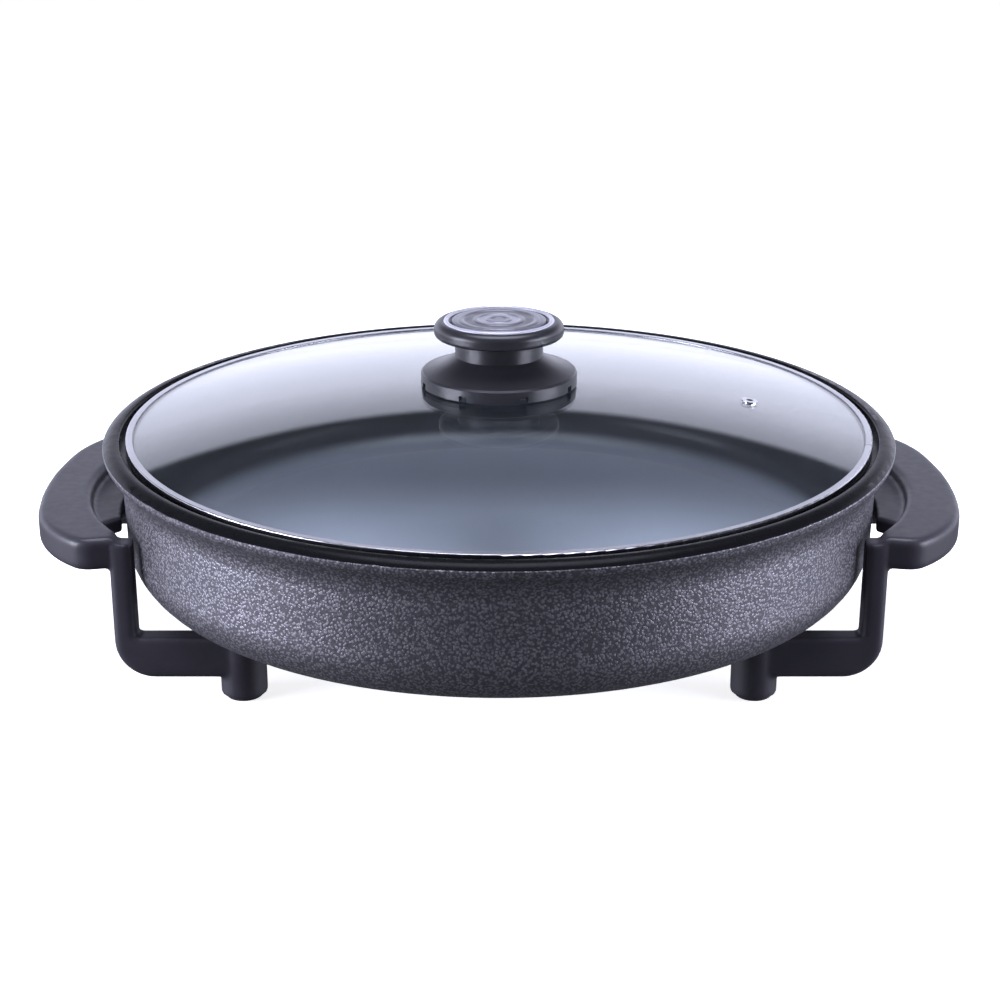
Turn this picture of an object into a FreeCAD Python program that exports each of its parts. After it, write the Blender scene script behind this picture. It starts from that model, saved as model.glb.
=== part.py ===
import FreeCAD, Part
import math
import os

# Round electric griddle pan with a domed glass lid, in millimetres.
# The origin is on the table under the centre of the pan, +Z is up and -Y is the front.
# The two handles lie along X and the mains inlet faces the back.

V = FreeCAD.Vector

# ---- driving dimensions ----------------------------------------------------
RIM_RADIUS = 210.0        # widest edge of the rim
PAN_LIFT = 45.0           # underside of the pan above the table
PAN_DEPTH = 75.0          # from the underside up to the widest edge of the rim
FLOOR_THICK = 5.0
WALL_THICK = 6.0
WALL_INSET = 10.0         # wall outside, inside the widest edge of the rim
WALL_DRAFT = 0.8          # how far the wall leans in from top to bottom
CORNER_RADIUS = 26.0      # outside corner between wall and floor
RIM_FLANK = 5.5           # height of the rounded flank under that edge
RIM_TUCK = 3.2            # how far the flank turns in
RIM_CROWN = 3.0           # rim top above its widest edge
RIM_LAND = 9.0            # radial width of the rim top
LIP_ROUND = 1.2           # rounded inner edge of the rim top
RIM_COVE = 13.0           # height of the hollow flare that joins wall and flank
COVE_HOLLOW = 1.4         # depth of that hollow
FLANK_BULGE = 0.8
CROWN_BULGE = 1.7
LEDGE_DROP = 1.5          # lid ledge below the widest edge of the rim

HEATER_DIA = 7.0
HEATER_DROP = 10.0        # heater centreline below the underside of the pan
HEATER_GAP = 24.0         # heater ridge to foot column
HEATER_BEND = 14.0        # bend from ring to terminal legs
RIDGE_WIDTH = 14.0
RIDGE_SKIN = 2.0          # metal under the heater
BLOCK_WIDTH = 52.0        # terminal block cast on the underside
BLOCK_LENGTH = 52.0
PIN_PITCH = 30.0
PIN_DIA = 4.8
PIN_LENGTH = 22.0
PIN_STEM_DIA = 2.6
SEAL_DIA = 6.0
SEAL_LENGTH = 12.0
SEAL_PROUD = 2.0
PROBE_DIA = 7.0
PROBE_DEPTH = 40.0
GUARD_SHEET = 1.6
GUARD_GAP = 6.0           # guard to terminal block, each side
GUARD_HEIGHT = 19.0
GUARD_PROUD = 6.0         # guard past the pin ends
GUARD_BACK = 10.0         # guard in front of the block face
GUARD_LIFT = 1.0          # guard below the underside of the pan
EAR_LENGTH = 12.0
EAR_WIDTH = 14.0

FOOT_DIA = 24.0
FOOT_INSET = 19.0         # foot centre inside the flat of the floor
FOOT_Y = 81.0
FOOT_BOSS_DIA = 16.0
FOOT_BOSS_HEIGHT = 5.0
FOOT_BOLT_HEAD_Z = 13.0   # seat of the bolt head inside the foot
PAD_DIA = 19.0
PAD_PROUD = 1.6
PAD_THICK = 4.6

POST_THICK = 12.0
POST_DEEP = 13.0
POST_Y = 85.0
POST_ROUND = 4.0
POST_GAP = 1.0            # post corner to pan wall
BAR_DROP = 9.4            # top of the leg bar below the underside of the pan
BAR_HEIGHT = 22.6
ELBOW_RADIUS = 20.0

GRIP_DROP = 30.0          # handle top below the widest edge of the rim
GRIP_THICK = 17.0
GRIP_REACH = 35.0         # handle outer edge beyond the rim
GRIP_HALF = 94.0          # half the handle's length
GRIP_BOW = 250.0          # radius of the middle of the outer edge
GRIP_BOW_HALF = 45.0      # half the length of that middle arc
GRIP_GAP = 9.0            # handle inner edge beyond the rim
GRIP_HOLLOW = 134.0       # radius of the inner edge
GRIP_TIP = 18.0           # length of the blunt end
GRIP_TIP_RISE = 4.0
GRIP_TIP_ROUND = 13.0     # upright corner at each end of the outer edge
GRIP_ROUND = 3.5
BRIDGE_WIDTH = 76.0       # bridge along the pan wall
BRIDGE_SPREAD = 118.0     # bridge where it meets the grip
BRIDGE_THICK = 8.5
BRIDGE_LIFT = 2.0         # underside of the bridge above the underside of the grip
BRIDGE_GAP = 1.8          # bridge to pan wall
LUG_WIDTH = 30.0
LUG_THICK = 5.5
LUG_SCREW_PITCH = 16.0

BOLT_DIA = 4.0
BOLT_HOLE = 4.4
BOLT_HEAD_DIA = 7.6
BOLT_HEAD_THICK = 2.6
BOLT_BITE = 6.5           # depth of the hole in the part it screws into
BOLT_TIP_GAP = 1.0        # hole past the end of the bolt
SHORT_BITE = 5.5          # hole above the guard ears
SLOT_WIDTH = 1.0
SLOT_DEPTH = 1.2
WASHER_DIA = 10.0
WASHER_THICK = 1.0

GLASS_THICK = 3.8
GLASS_RISE = 22.0
GLASS_FLANGE = 3.4        # flat edge that the band grips
LID_GAP = 3.0             # lid to rim, all round
BAND_SHEET = 0.6
BAND_GRIP = 3.0           # how far the band covers the glass
BAND_LIFT = 0.3           # lid above the ledge
VENT_RADIUS = 134.0
VENT_ANGLE = -1.0
VENT_BORE = 3.6
VENT_BARREL = 6.0
VENT_FLANGE = 9.0
VENT_SHEET = 0.7
FIT_GAP = 0.1

SKIRT_RADIUS = 41.6
SKIRT_BAND = 7.0          # height of its upright side
SKIRT_WALL = 3.0
SKIRT_CLEAR = 0.8         # skirt edge above the glass
NECK_RADIUS = 23.4
NECK_RISE = 14.0          # skirt edge to the foot of the neck
NECK_LENGTH = 10.4
NOTCH_COUNT = 8
NOTCH_WIDTH = 4.5
NOTCH_HEIGHT = 3.0
NOTCH_PHASE = -71.9       # angle of the first notch from +X
DISC_RADIUS = 34.4
DISC_FLARE = 3.6          # underside of the disc up to its widest edge
DISC_UNDER = 3.5          # radial width of the rounding under that edge
DISC_TOP = 5.4            # widest edge of the disc up to its top
FLARE_BULGE = 1.3         # roundness of the disc, under and over its edge
CONE_HOLLOW = 1.2         # hollow of the skirt's cone
EDGE_BREAK = 1.0
CROWN_RADIUS = 28.0       # ring round the cap
CROWN_WIDTH = 2.6
CAP_RADIUS = 25.0
CAP_THICK = 1.6
CAP_RINGS = (21.0, 13.0, 6.0)
RING_WIDTH = 1.6
RING_HEIGHT = 0.5
KNOB_HOLE = 5.6
STEM_DIA = 5.0
INSERT_DIA = 9.0
INSERT_LENGTH = 6.0
STEM_BITE = 4.8
STEM_HEAD_DIA = 9.5
STEM_HEAD_THICK = 3.0
GASKET_RADIUS = 30.0
GASKET_THICK = 1.2
LOWER_GASKET_RADIUS = 14.0
KNOB_WASHER_RADIUS = 12.0
KNOB_WASHER_THICK = 1.2

# ---- sizes that follow from them -------------------------------------------
BASE_Z = PAN_LIFT
RIM_Z = BASE_Z + PAN_DEPTH
FLOOR_Z = BASE_Z + FLOOR_THICK
WALL_RADIUS = RIM_RADIUS - WALL_INSET
FLAT_RADIUS = WALL_RADIUS - CORNER_RADIUS
INNER_CORNER = CORNER_RADIUS - FLOOR_THICK
INNER_RADIUS = WALL_RADIUS - WALL_THICK
COVE_Z = RIM_Z - RIM_FLANK - RIM_COVE
LEDGE_Z = RIM_Z - LEDGE_DROP
RECESS_RADIUS = RIM_RADIUS - RIM_LAND

FOOT_RING = FLAT_RADIUS - FOOT_INSET
FOOT_X = math.sqrt(FOOT_RING ** 2 - FOOT_Y ** 2)
FOOT_TOP = BASE_Z - FOOT_BOSS_HEIGHT
BAR_TOP = BASE_Z - BAR_DROP
BAR_Z = BAR_TOP - BAR_HEIGHT

HEATER_Z = BASE_Z - HEATER_DROP
HEATER_RADIUS = FOOT_RING - FOOT_DIA / 2 - HEATER_GAP - RIDGE_WIDTH / 2
RIDGE_Z = HEATER_Z - HEATER_DIA / 2 - RIDGE_SKIN
BLOCK_FACE = HEATER_RADIUS - RIDGE_WIDTH / 2 + BLOCK_LENGTH
SEAL_FACE = BLOCK_FACE + SEAL_PROUD
PIN_END = SEAL_FACE + PIN_LENGTH
GUARD_TOP = BASE_Z - GUARD_LIFT
GUARD_HALF = BLOCK_WIDTH / 2 + GUARD_GAP
EAR_X = GUARD_HALF + EAR_LENGTH / 2
EAR_Y = BLOCK_FACE - GUARD_BACK + EAR_WIDTH / 2

POST_CORNER_Y = POST_Y - POST_DEEP / 2 + POST_ROUND
POST_CORNER_R = WALL_RADIUS + WALL_DRAFT + POST_GAP + POST_ROUND
POST_INNER_X = math.sqrt(POST_CORNER_R ** 2 - POST_CORNER_Y ** 2) - POST_ROUND
POST_OUTER_X = POST_INNER_X + POST_THICK

GRIP_TOP = RIM_Z - GRIP_DROP
GRIP_Z = GRIP_TOP - GRIP_THICK
GRIP_X = RIM_RADIUS + GRIP_REACH
GRIP_INNER_X = RIM_RADIUS + GRIP_GAP
BRIDGE_X = WALL_RADIUS + WALL_DRAFT + BRIDGE_GAP
BRIDGE_Z = GRIP_Z + BRIDGE_LIFT
LUG_END = GRIP_INNER_X - BRIDGE_GAP
LUG_X = (BRIDGE_X + LUG_END) / 2

BAND_RADIUS = RECESS_RADIUS - LID_GAP
BAND_Z = LEDGE_Z + BAND_LIFT
GLASS_RADIUS = BAND_RADIUS - BAND_SHEET
GLASS_EDGE_Z = BAND_Z + BAND_SHEET
DOME_EDGE = GLASS_RADIUS - GLASS_FLANGE
GLASS_TOP = GLASS_EDGE_Z + GLASS_THICK + GLASS_RISE
DOME_RADIUS = (DOME_EDGE ** 2 + GLASS_RISE ** 2) / (2 * GLASS_RISE)

KNOB_SEAT = GLASS_TOP + GASKET_THICK
NECK_Z = KNOB_SEAT + NECK_RISE
DISC_Z = NECK_Z + NECK_LENGTH
DISC_EDGE_Z = DISC_Z + DISC_FLARE
KNOB_TOP = DISC_EDGE_Z + DISC_TOP
CAP_Z = KNOB_TOP - CAP_THICK - RING_HEIGHT
INSERT_Z = DISC_Z
STEM_TOP = INSERT_Z + STEM_BITE
GASKET_UNDER = GLASS_TOP - GLASS_THICK - GASKET_THICK
STEM_SEAT = GASKET_UNDER - KNOB_WASHER_THICK


def dome_z(radius, drop=0.0):
    """Height of the glass at a radius, drop below its outer face."""
    centre = GLASS_TOP - DOME_RADIUS
    return centre + math.sqrt((DOME_RADIUS - drop) ** 2 - radius ** 2)


class Outline:
    """Closed outline in a plane, drawn edge by edge from a starting point."""

    def __init__(self, place, *start):
        self.place = place
        self.start = self.at = place(*start)
        self.edges = []

    def line(self, *points):
        for point in points:
            end = self.place(*point)
            self.edges.append(Part.makeLine(self.at, end))
            self.at = end
        return self

    def arc(self, via, point):
        end = self.place(*point)
        self.edges.append(Part.Arc(self.at, self.place(*via), end).toShape())
        self.at = end
        return self

    def face(self):
        if self.at.distanceToPoint(self.start) > 1e-6:
            self.edges.append(Part.makeLine(self.at, self.start))
        return Part.Face(Part.Wire(self.edges))


def lathe_place(radius, height):
    return V(radius, 0, height)


def plan_place(x, y):
    return V(x, y, 0)


def lathe(outline):
    return outline.face().revolve(V(0, 0, 0), V(0, 0, 1), 360)


def quarter(centre, radius, angle):
    """Point of an arc round a centre at an angle in degrees."""
    turn = math.radians(angle)
    return (centre[0] + radius * math.cos(turn), centre[1] + radius * math.sin(turn))


def beside(start, end, bulge):
    """Point beside the middle of a chord, to the right of its direction."""
    run = (end[0] - start[0], end[1] - start[1])
    length = math.hypot(*run)
    return ((start[0] + end[0]) / 2 + run[1] / length * bulge,
            (start[1] + end[1]) / 2 - run[0] / length * bulge)


def ring(outer, inner, low, high):
    solid = Part.makeCylinder(outer, high - low, V(0, 0, low))
    return solid.cut(Part.makeCylinder(inner, high - low, V(0, 0, low)))


def box(x0, x1, y0, y1, z0, z1):
    return Part.makeBox(x1 - x0, y1 - y0, z1 - z0, V(x0, y0, z0))


def rod(diameter, low, high, x=0.0, y=0.0):
    return Part.makeCylinder(diameter / 2, high - low, V(x, y, low))


def rod_back(diameter, start, end, x=0.0):
    """Rod along +Y at the height of the heater."""
    return Part.makeCylinder(diameter / 2, end - start, V(x, start, HEATER_Z), V(0, 1, 0))


def corners():
    """The four feet: name, sign along X, sign along Y."""
    for x_name, x_sign in (("left", -1), ("right", 1)):
        for y_name, y_sign in (("front", -1), ("back", 1)):
            yield y_name + "_" + x_name, x_sign, y_sign


def bolt(seat, tip, x, y, head_dia=BOLT_HEAD_DIA, head=BOLT_HEAD_THICK, shank=BOLT_DIA):
    """Upright bolt with its head below the seat and a driver slot in the head."""
    solid = rod(head_dia, seat - head, seat, x, y).fuse(rod(shank, seat, tip, x, y))
    slot = box(x - head_dia, x + head_dia, y - SLOT_WIDTH / 2, y + SLOT_WIDTH / 2,
               seat - head, seat - head + SLOT_DEPTH)
    return solid.cut(slot).removeSplitter()


# ---- pan and heater ---------------------------------------------------------
def heater_path():
    """Omega-shaped centreline: a ring that opens at the back into two straight legs."""
    leg_x = PIN_PITCH / 2
    bend_x = leg_x + HEATER_BEND
    bend_y = math.sqrt((HEATER_RADIUS + HEATER_BEND) ** 2 - bend_x ** 2)
    share = HEATER_RADIUS / (HEATER_RADIUS + HEATER_BEND)
    meet = (bend_x * share, bend_y * share)
    half_turn = (180 + math.degrees(math.atan2(bend_y, bend_x))) / 2
    bend_mid = quarter((bend_x, bend_y), HEATER_BEND, 180 + half_turn - 90)

    def at(x, y):
        return V(x, y, HEATER_Z)

    return Part.Wire([
        Part.makeLine(at(-leg_x, SEAL_FACE), at(-leg_x, bend_y)),
        Part.Arc(at(-leg_x, bend_y), at(-bend_mid[0], bend_mid[1]), at(-meet[0], meet[1])).toShape(),
        Part.Arc(at(-meet[0], meet[1]), at(0, -HEATER_RADIUS), at(*meet)).toShape(),
        Part.Arc(at(*meet), at(*bend_mid), at(leg_x, bend_y)).toShape(),
        Part.makeLine(at(leg_x, bend_y), at(leg_x, SEAL_FACE)),
    ])


def heater_solid():
    section = Part.Wire(Part.makeCircle(HEATER_DIA / 2, V(-PIN_PITCH / 2, SEAL_FACE, HEATER_Z), V(0, 1, 0)))
    return heater_path().makePipeShell([section], True, False)


def bowl():
    """Outside of the pan as a full round: floor, corner, wall, flare, flank and rim crown."""
    corner = (FLAT_RADIUS, BASE_Z + CORNER_RADIUS)
    wall_top = (WALL_RADIUS + WALL_DRAFT, COVE_Z)
    tuck = (RIM_RADIUS - RIM_TUCK, RIM_Z - RIM_FLANK)
    edge = (RIM_RADIUS, RIM_Z)
    crown = (RECESS_RADIUS, RIM_Z + RIM_CROWN)
    outline = Outline(lathe_place, 0, BASE_Z)
    outline.line((FLAT_RADIUS, BASE_Z))
    outline.arc(quarter(corner, CORNER_RADIUS, -45), (WALL_RADIUS, corner[1]))
    outline.line(wall_top)
    outline.arc(beside(wall_top, tuck, -COVE_HOLLOW), tuck)
    outline.arc(beside(tuck, edge, FLANK_BULGE), edge)
    outline.arc(beside(edge, crown, CROWN_BULGE), crown)
    outline.line((0, RIM_Z + RIM_CROWN))
    return lathe(outline)


def cavity():
    """Inside of the pan: flat floor, rounded corner, wall, and the step that is the lid's ledge."""
    corner = (FLAT_RADIUS + FLOOR_THICK - WALL_THICK, FLOOR_Z + INNER_CORNER)
    outline = Outline(lathe_place, 0, FLOOR_Z)
    outline.line((corner[0], FLOOR_Z))
    outline.arc(quarter(corner, INNER_CORNER, -45), (INNER_RADIUS, corner[1]))
    outline.line((INNER_RADIUS + WALL_DRAFT, LEDGE_Z), (RECESS_RADIUS, LEDGE_Z))
    lip = (RECESS_RADIUS + LIP_ROUND, RIM_Z + RIM_CROWN - LIP_ROUND)
    outline.line((RECESS_RADIUS, lip[1]))
    outline.arc(quarter(lip, LIP_ROUND, 135), (lip[0], lip[1] + LIP_ROUND))
    outline.line((lip[0], RIM_Z + 2 * RIM_CROWN), (0, RIM_Z + 2 * RIM_CROWN))
    return lathe(outline)


def lug(side):
    """Cast lug on the wall that carries a handle bridge."""
    ends = sorted((side * FLAT_RADIUS, side * LUG_END))
    return box(ends[0], ends[1], -LUG_WIDTH / 2, LUG_WIDTH / 2, BRIDGE_Z - LUG_THICK, BRIDGE_Z)


def pan():
    ridge_out = HEATER_RADIUS + RIDGE_WIDTH / 2
    ridge_in = HEATER_RADIUS - RIDGE_WIDTH / 2
    ear_z = GUARD_TOP - GUARD_SHEET
    solid = bowl().fuse(ring(ridge_out, ridge_in, RIDGE_Z, BASE_Z))
    solid = solid.fuse(box(-BLOCK_WIDTH / 2, BLOCK_WIDTH / 2, ridge_in, BLOCK_FACE, RIDGE_Z, BASE_Z))
    for side in (-1, 1):
        solid = solid.fuse(rod(EAR_LENGTH, ear_z, BASE_Z, side * EAR_X, EAR_Y))
        solid = solid.fuse(lug(side))
    for _, sx, sy in corners():
        solid = solid.fuse(rod(FOOT_BOSS_DIA, FOOT_TOP, BASE_Z, sx * FOOT_X, sy * FOOT_Y))
    solid = solid.cut(cavity())
    for _, sx, sy in corners():
        solid = solid.cut(rod(BOLT_DIA, FOOT_TOP, FOOT_TOP + BOLT_BITE, sx * FOOT_X, sy * FOOT_Y))
    for side in (-1, 1):
        solid = solid.cut(rod(BOLT_DIA, ear_z, ear_z + SHORT_BITE, side * EAR_X, EAR_Y))
        for y in (-LUG_SCREW_PITCH / 2, LUG_SCREW_PITCH / 2):
            solid = solid.cut(rod(BOLT_HOLE, BRIDGE_Z - LUG_THICK, BRIDGE_Z, side * LUG_X, y))
    solid = solid.cut(heater_solid())
    solid = solid.cut(rod_back(PROBE_DIA, BLOCK_FACE - PROBE_DEPTH, BLOCK_FACE))
    return solid.removeSplitter()


def heating_element():
    solid = heater_solid()
    for side in (-1, 1):
        x = side * PIN_PITCH / 2
        solid = solid.cut(rod_back(SEAL_DIA, SEAL_FACE - SEAL_LENGTH, SEAL_FACE, x))
    return solid


def element_seals():
    solids = []
    for side in (-1, 1):
        x = side * PIN_PITCH / 2
        solid = rod_back(SEAL_DIA, SEAL_FACE - SEAL_LENGTH, SEAL_FACE, x)
        solids.append(solid.cut(rod_back(PIN_STEM_DIA, SEAL_FACE - SEAL_LENGTH, SEAL_FACE, x)))
    return Part.makeCompound(solids)


def terminal_pin(side):
    x = side * PIN_PITCH / 2
    pin = rod_back(PIN_DIA, SEAL_FACE, PIN_END, x)
    tip = [edge for edge in pin.Edges if abs(edge.BoundBox.YMin - PIN_END) < 1e-6]
    pin = pin.makeChamfer(PIN_DIA / 6, [edge for edge in tip if edge.Length > PIN_DIA])
    return pin.fuse(rod_back(PIN_STEM_DIA, SEAL_FACE - SEAL_LENGTH, SEAL_FACE, x)).removeSplitter()


def inlet_guard():
    """Sheet-steel sleeve round the pins, with two ears that screw to the underside."""
    front = BLOCK_FACE - GUARD_BACK
    back = PIN_END + GUARD_PROUD
    low = GUARD_TOP - GUARD_HEIGHT
    solid = box(-GUARD_HALF, GUARD_HALF, front, back, low, GUARD_TOP)
    inner = GUARD_HALF - GUARD_SHEET
    ear_top = GUARD_TOP - GUARD_SHEET
    solid = solid.cut(box(-inner, inner, front + GUARD_SHEET, back, low + GUARD_SHEET, ear_top))
    window = BLOCK_WIDTH / 2 + GUARD_SHEET
    solid = solid.cut(box(-window, window, front, BLOCK_FACE + GUARD_SHEET, RIDGE_Z - GUARD_SHEET, GUARD_TOP))
    for side in (-1, 1):
        ends = sorted((side * (inner + GUARD_SHEET / 2), side * (GUARD_HALF + EAR_LENGTH)))
        ear = box(ends[0], ends[1], front, front + EAR_WIDTH, ear_top - GUARD_SHEET, ear_top)
        ear = ear.cut(rod(BOLT_HOLE, ear_top - GUARD_SHEET, ear_top, side * EAR_X, EAR_Y))
        solid = solid.fuse(ear)
    return solid.removeSplitter()


def inlet_screws():
    seat = GUARD_TOP - 2 * GUARD_SHEET
    tip = GUARD_TOP - GUARD_SHEET + SHORT_BITE - BOLT_TIP_GAP
    return Part.makeCompound([bolt(seat, tip, side * EAR_X, EAR_Y) for side in (-1, 1)])


# ---- handles with legs --------------------------------------------------------
def grip():
    """Crescent grip of the right side, thick plate with rounded edges."""
    bow_centre = GRIP_X - GRIP_BOW
    bow_angle = math.asin(GRIP_BOW_HALF / GRIP_BOW)
    shoulder = V(bow_centre + GRIP_BOW * math.cos(bow_angle), GRIP_BOW_HALF, 0)
    normal = V(math.cos(bow_angle), math.sin(bow_angle), 0)
    tip = V(RIM_RADIUS, GRIP_HALF, 0)
    reach = tip - shoulder
    turn_radius = -reach.dot(reach) / (2 * reach.dot(normal))
    turn_centre = shoulder - normal * turn_radius
    end_angle = math.atan2(tip.y - turn_centre.y, tip.x - turn_centre.x)
    turn_mid = quarter((turn_centre.x, turn_centre.y), turn_radius,
                       math.degrees((bow_angle + end_angle) / 2))
    hollow_centre = GRIP_INNER_X - GRIP_HOLLOW
    blunt = (tip.x - GRIP_TIP, tip.y - GRIP_TIP_RISE)
    heel_y = POST_Y - POST_DEEP / 2
    heel = (hollow_centre + math.sqrt(GRIP_HOLLOW ** 2 - heel_y ** 2), heel_y)
    outline = Outline(plan_place, heel[0], -heel[1])
    outline.line((blunt[0], -blunt[1]), (tip.x, -tip.y))
    outline.arc((turn_mid[0], -turn_mid[1]), (shoulder.x, -shoulder.y))
    outline.arc((GRIP_X, 0), (shoulder.x, shoulder.y))
    outline.arc(turn_mid, (tip.x, tip.y))
    outline.line(blunt, heel)
    outline.arc((GRIP_INNER_X, 0), (heel[0], -heel[1]))
    face = outline.face()
    face.translate(V(0, 0, GRIP_Z))
    solid = face.extrude(V(0, 0, GRIP_THICK))
    corners_out = [edge for edge in solid.Edges
                   if edge.BoundBox.ZLength > GRIP_THICK / 2 and abs(edge.BoundBox.XMax - tip.x) < 1e-3
                   and abs(abs(edge.BoundBox.YMax) - GRIP_HALF) < 1e-3]
    solid = solid.makeFillet(GRIP_TIP_ROUND, corners_out)
    flat = [edge for edge in solid.Edges if edge.BoundBox.ZLength < 1e-6]
    return solid.makeFillet(GRIP_ROUND, flat)


def leg(y_sign):
    """Post, elbow and bar of one leg of the right side, ending at its foot column."""
    centre = (POST_OUTER_X - ELBOW_RADIUS, BAR_Z + ELBOW_RADIUS)
    outline = Outline(lathe_place, POST_OUTER_X, GRIP_TOP - GRIP_ROUND)
    outline.line((POST_OUTER_X, centre[1]))
    outline.arc(quarter(centre, ELBOW_RADIUS, -45), (centre[0], BAR_Z))
    outline.line((FOOT_X, BAR_Z), (FOOT_X, BAR_TOP), (POST_INNER_X, BAR_TOP))
    outline.line((POST_INNER_X, GRIP_TOP - GRIP_ROUND))
    face = outline.face()
    face.translate(V(0, y_sign * POST_Y - POST_DEEP / 2, 0))
    solid = face.extrude(V(0, POST_DEEP, 0))
    upright = [edge for edge in solid.Edges
               if edge.BoundBox.ZLength > POST_DEEP * 2 and edge.BoundBox.YLength < 1e-6]
    solid = solid.makeFillet(POST_ROUND, upright)
    column = rod(FOOT_DIA, PAD_PROUD, FOOT_TOP, FOOT_X, y_sign * FOOT_Y)
    rim = [edge for edge in column.Edges if abs(edge.BoundBox.ZMax - PAD_PROUD) < 1e-6]
    column = column.makeChamfer(PAD_PROUD / 2, rim)
    return solid.fuse(column)


def bridge():
    """Web that spreads from the pan wall to the inner edge of the grip."""
    half = BRIDGE_SPREAD / 2
    near = BRIDGE_X - GRIP_GAP
    far = GRIP_INNER_X - GRIP_HOLLOW + math.sqrt(GRIP_HOLLOW ** 2 - half ** 2) + GRIP_GAP
    outline = Outline(plan_place, near, -BRIDGE_WIDTH / 2)
    outline.line((far, -half), (GRIP_INNER_X + GRIP_THICK / 2, 0), (far, half), (near, BRIDGE_WIDTH / 2))
    outline.line((near, -BRIDGE_WIDTH / 2))
    face = outline.face()
    face.translate(V(0, 0, BRIDGE_Z))
    web = face.extrude(V(0, 0, BRIDGE_THICK))
    return web.cut(rod(2 * BRIDGE_X, BRIDGE_Z, BRIDGE_Z + BRIDGE_THICK))


def handle_frame(side):
    """One moulding: crescent grip, bridge to the pan, two posts, two bars, two foot columns."""
    solid = grip()
    for y_sign in (-1, 1):
        solid = solid.fuse(leg(y_sign))
    solid = solid.fuse(bridge())
    for y in (-LUG_SCREW_PITCH / 2, LUG_SCREW_PITCH / 2):
        solid = solid.cut(rod(BOLT_DIA, BRIDGE_Z, BRIDGE_Z + BOLT_BITE, LUG_X, y))
    for y_sign in (-1, 1):
        y = y_sign * FOOT_Y
        solid = solid.cut(rod(BOLT_HOLE, FOOT_BOLT_HEAD_Z, FOOT_TOP, FOOT_X, y))
        solid = solid.cut(rod(WASHER_DIA + 2 * FIT_GAP, 0, FOOT_BOLT_HEAD_Z, FOOT_X, y))
        solid = solid.cut(rod(PAD_DIA + 2 * FIT_GAP, 0, PAD_THICK, FOOT_X, y))
    solid = solid.removeSplitter()
    if side < 0:
        solid = solid.mirror(V(0, 0, 0), V(1, 0, 0))
    return solid


def handle_screws(side):
    seat = BRIDGE_Z - LUG_THICK
    tip = BRIDGE_Z + BOLT_BITE - BOLT_TIP_GAP
    pitch = LUG_SCREW_PITCH / 2
    return Part.makeCompound([bolt(seat, tip, side * LUG_X, y) for y in (-pitch, pitch)])


def foot_bolts():
    seat = FOOT_BOLT_HEAD_Z - WASHER_THICK
    tip = FOOT_TOP + BOLT_BITE - BOLT_TIP_GAP
    return Part.makeCompound([bolt(seat, tip, sx * FOOT_X, sy * FOOT_Y) for _, sx, sy in corners()])


def foot_washers():
    solids = []
    for _, sx, sy in corners():
        washer = ring(WASHER_DIA / 2, BOLT_HOLE / 2, FOOT_BOLT_HEAD_Z - WASHER_THICK, FOOT_BOLT_HEAD_Z)
        washer.translate(V(sx * FOOT_X, sy * FOOT_Y, 0))
        solids.append(washer)
    return Part.makeCompound(solids)


def foot_pad(sx, sy):
    pad = rod(PAD_DIA, 0, PAD_THICK, sx * FOOT_X, sy * FOOT_Y)
    edge = [item for item in pad.Edges if abs(item.BoundBox.ZMax) < 1e-6]
    return pad.makeChamfer(PAD_PROUD / 4, edge)


# ---- lid ------------------------------------------------------------------------
def vent_cut(diameter, low, high):
    """Cylinder along the normal of the dome at the vent, heights from the outer face."""
    lean = math.asin(VENT_RADIUS / DOME_RADIUS)
    axis = V(math.sin(lean), 0, math.cos(lean))
    foot = V(VENT_RADIUS, 0, dome_z(VENT_RADIUS))
    solid = Part.makeCylinder(diameter / 2, high - low, foot + axis * low, axis)
    solid.rotate(V(0, 0, 0), V(0, 0, 1), VENT_ANGLE)
    return solid


def lid_glass():
    half = DOME_EDGE / 2
    top_edge = GLASS_EDGE_Z + GLASS_THICK
    outline = Outline(lathe_place, 0, GLASS_TOP - GLASS_THICK)
    outline.arc((half, dome_z(half, GLASS_THICK)), (DOME_EDGE, dome_z(DOME_EDGE, GLASS_THICK)))
    outline.line((DOME_EDGE + GLASS_FLANGE / 4, GLASS_EDGE_Z), (GLASS_RADIUS, GLASS_EDGE_Z))
    outline.line((GLASS_RADIUS, top_edge), (DOME_EDGE, top_edge))
    outline.arc((half, dome_z(half)), (0, GLASS_TOP))
    solid = lathe(outline)
    solid = solid.cut(rod(KNOB_HOLE + 2 * GASKET_THICK, GLASS_TOP - 2 * GLASS_THICK, GLASS_TOP + GLASS_THICK))
    return solid.cut(vent_cut(VENT_BARREL + 2 * FIT_GAP, -2 * GLASS_THICK, GLASS_THICK))


def lid_band():
    """Steel channel folded over the edge of the glass."""
    low = BAND_Z
    high = GLASS_EDGE_Z + GLASS_THICK + BAND_SHEET
    cover = GLASS_RADIUS - BAND_GRIP
    outline = Outline(lathe_place, cover, low)
    outline.line((BAND_RADIUS - BAND_SHEET, low))
    outline.arc(quarter((BAND_RADIUS - BAND_SHEET, low + BAND_SHEET), BAND_SHEET, -45),
                (BAND_RADIUS, low + BAND_SHEET))
    outline.line((BAND_RADIUS, high - BAND_SHEET))
    outline.arc(quarter((BAND_RADIUS - BAND_SHEET, high - BAND_SHEET), BAND_SHEET, 45),
                (BAND_RADIUS - BAND_SHEET, high))
    outline.line((cover, high), (cover, high - BAND_SHEET), (GLASS_RADIUS, high - BAND_SHEET))
    outline.line((GLASS_RADIUS, GLASS_EDGE_Z), (cover + BAND_SHEET * 2, GLASS_EDGE_Z))
    return lathe(outline)


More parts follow.
